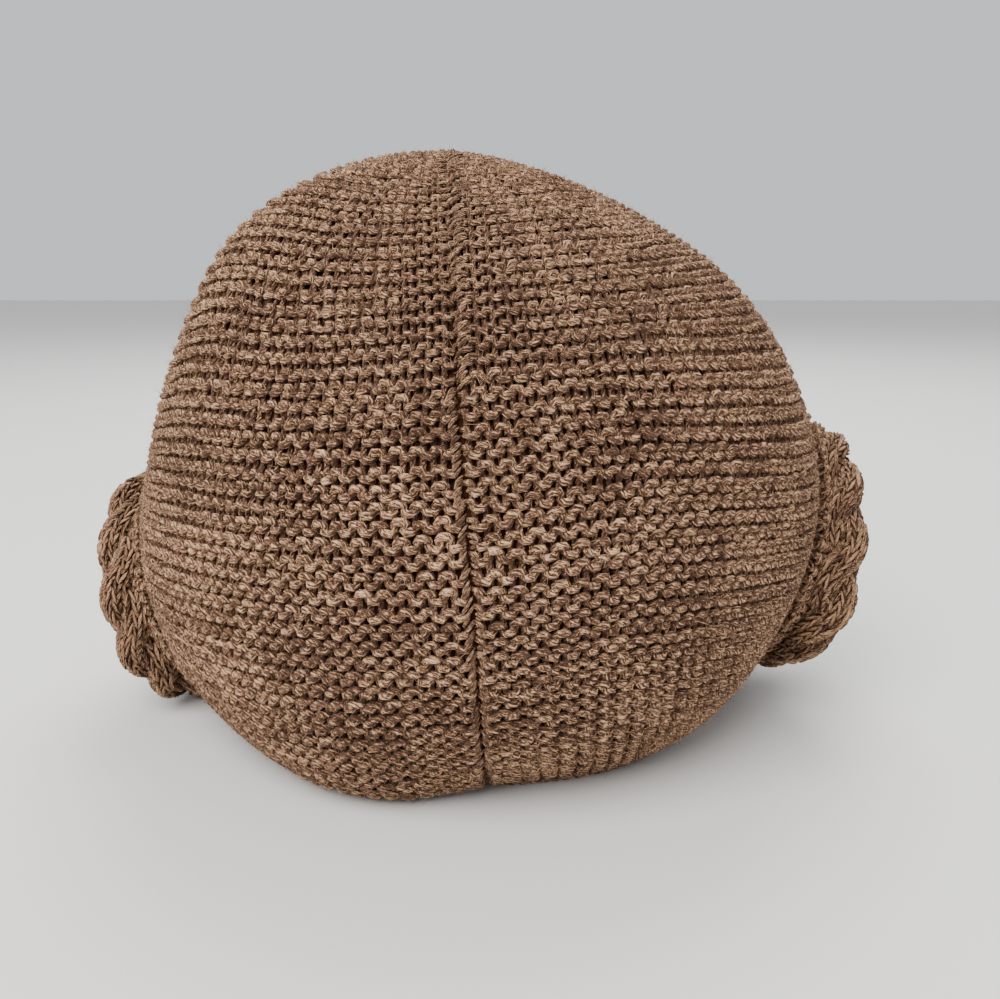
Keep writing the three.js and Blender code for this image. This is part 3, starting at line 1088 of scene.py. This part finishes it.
def ear_warmer(pad, core_shade_mat, pad_mat, braid_mat):
    """One ear warmer: three strands of plait, the round under them and its sewing; places for fibres."""
    places = [braid_strand(pad, strand, core_shade_mat, braid_mat) for strand in range(3)]
    pad_core(pad, core_shade_mat)
    pad_stitches(pad, pad_mat)
    join_stitches(pad, braid_mat)
    return places


# Loose wool

def loose_fibres(name, places, mat):
    """Short stray hairs standing out of the yarn, each a thin strip."""
    path, normal, radius = places
    spec = STRAY_WOOL[name]
    count = spec["count"]
    r = np.random.default_rng(spec["seed"])
    i = r.integers(0, len(path), count)
    n = normal[i]
    side = unit(np.cross(n, unit(r.normal(size=(count, 3)))))
    start = path[i] + n * (radius[i] * 0.8)[:, None]
    length = r.gamma(3.0, spec["reach"] / 3.0, count)[:, None]
    stand = n * r.uniform(0.15, 1.0, count)[:, None]
    lean = unit(stand + unit(np.cross(n, r.normal(size=(count, 3)))) * 0.8)
    bend = unit(r.normal(size=(count, 3)))
    tip = start + lean * length * 0.85 + bend * length * 0.3
    w = r.uniform(0.035, 0.07, count)[:, None] * side
    verts = keep_above(np.stack([start - w, start + w, tip + w * 0.3, tip - w * 0.3], 1), 0.15)
    obj = make_mesh(name, verts.reshape(-1, 3), np.arange(count * 4).reshape(-1, 4))
    dress(obj, mat)


# Stage, lights and camera

def point_camera():
    data = bpy.data.cameras.new("camera")
    data.sensor_fit = "HORIZONTAL"
    data.sensor_width = SENSOR_WIDTH
    data.lens = SENSOR_WIDTH * CAMERA_PIXELS / PHOTO_WIDTH
    data.clip_start = 0.01
    cam = bpy.data.objects.new("camera", data)
    cam.location = Vector(CAMERA_PLACE * MM)
    cam.rotation_euler = (math.radians(90 - CAMERA_PITCH), 0, 0)
    bpy.context.scene.collection.objects.link(cam)
    bpy.context.scene.camera = cam


def area_light(spec):
    """A round area light that looks at a spot above the middle of the table."""
    data = bpy.data.lights.new(spec["name"], "AREA")
    data.shape = "DISK"
    data.size = spec["size"]
    data.energy = spec["power"]
    data.color = spec["colour"]
    light = bpy.data.objects.new(spec["name"], data)
    light.location = spec["place"]
    towards = Vector((0, 0, spec["aim"])) - Vector(spec["place"])
    light.rotation_euler = towards.to_track_quat("-Z", "Y").to_euler()
    bpy.context.scene.collection.objects.link(light)


def build_floor():
    size = FLOOR_HALF / MM
    corners = np.array([[-size, -size, 0], [size, -size, 0], [size, size, 0], [-size, size, 0]])
    floor = make_mesh("floor", corners, np.array([[0, 1, 2, 3]]), smooth=False)
    floor.data.materials.append(new_material("floor", Base_Color=FLOOR_COLOUR, Roughness=0.9)[0])


def build_sky():
    world = bpy.data.worlds.new("world")
    world.use_nodes = True
    background = world.node_tree.nodes["Background"]
    background.inputs["Color"].default_value = SKY_COLOUR
    background.inputs["Strength"].default_value = SKY_STRENGTH
    bpy.context.scene.world = world


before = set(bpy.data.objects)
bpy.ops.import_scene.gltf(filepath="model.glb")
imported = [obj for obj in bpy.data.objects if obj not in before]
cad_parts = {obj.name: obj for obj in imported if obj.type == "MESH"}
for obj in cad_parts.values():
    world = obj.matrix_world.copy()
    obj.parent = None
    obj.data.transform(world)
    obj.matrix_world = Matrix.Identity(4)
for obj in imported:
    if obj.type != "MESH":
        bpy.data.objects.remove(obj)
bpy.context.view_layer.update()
skin = Skin(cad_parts["crown"])
crown_mat = yarn_material("crown_yarn", CROWN_WOOL)
braid_mat = yarn_material("braid_yarn", BRAID_WOOL)
shade_mat = shade_material("crown_shade", CROWN_SHADE, CROWN_SHADE_NOISE)
# Painted shade for the plait's cores and the pad's round, seen in the gaps between stitches.
core_shade_mat = shade_material("braid_shade", BRAID_SHADE, BRAID_SHADE_NOISE)
fuzz_mat = fuzz_material("stray_wool", STRAY_COLOUR)

course_downs, course_index, index_downs = lay_out_courses(skin)
crown_places = knit_crown(skin, course_downs, crown_mat)
seam_edges(skin, course_downs, crown_mat)
crown_backing(skin, shade_mat)
crown_inside(skin, course_index, index_downs, crown_mat)
hem_edge(skin, crown_mat)
braid_places = []
for warmer in EAR_WARMERS:
    braid_places += ear_warmer(PadFrame(skin, warmer), core_shade_mat, crown_mat, braid_mat)
loose_fibres("crown_fibres", crown_places, fuzz_mat)
loose_fibres("braid_fibres", joined(braid_places), fuzz_mat)

build_floor()
for light in LIGHTS:
    area_light(light)
build_sky()
point_camera()
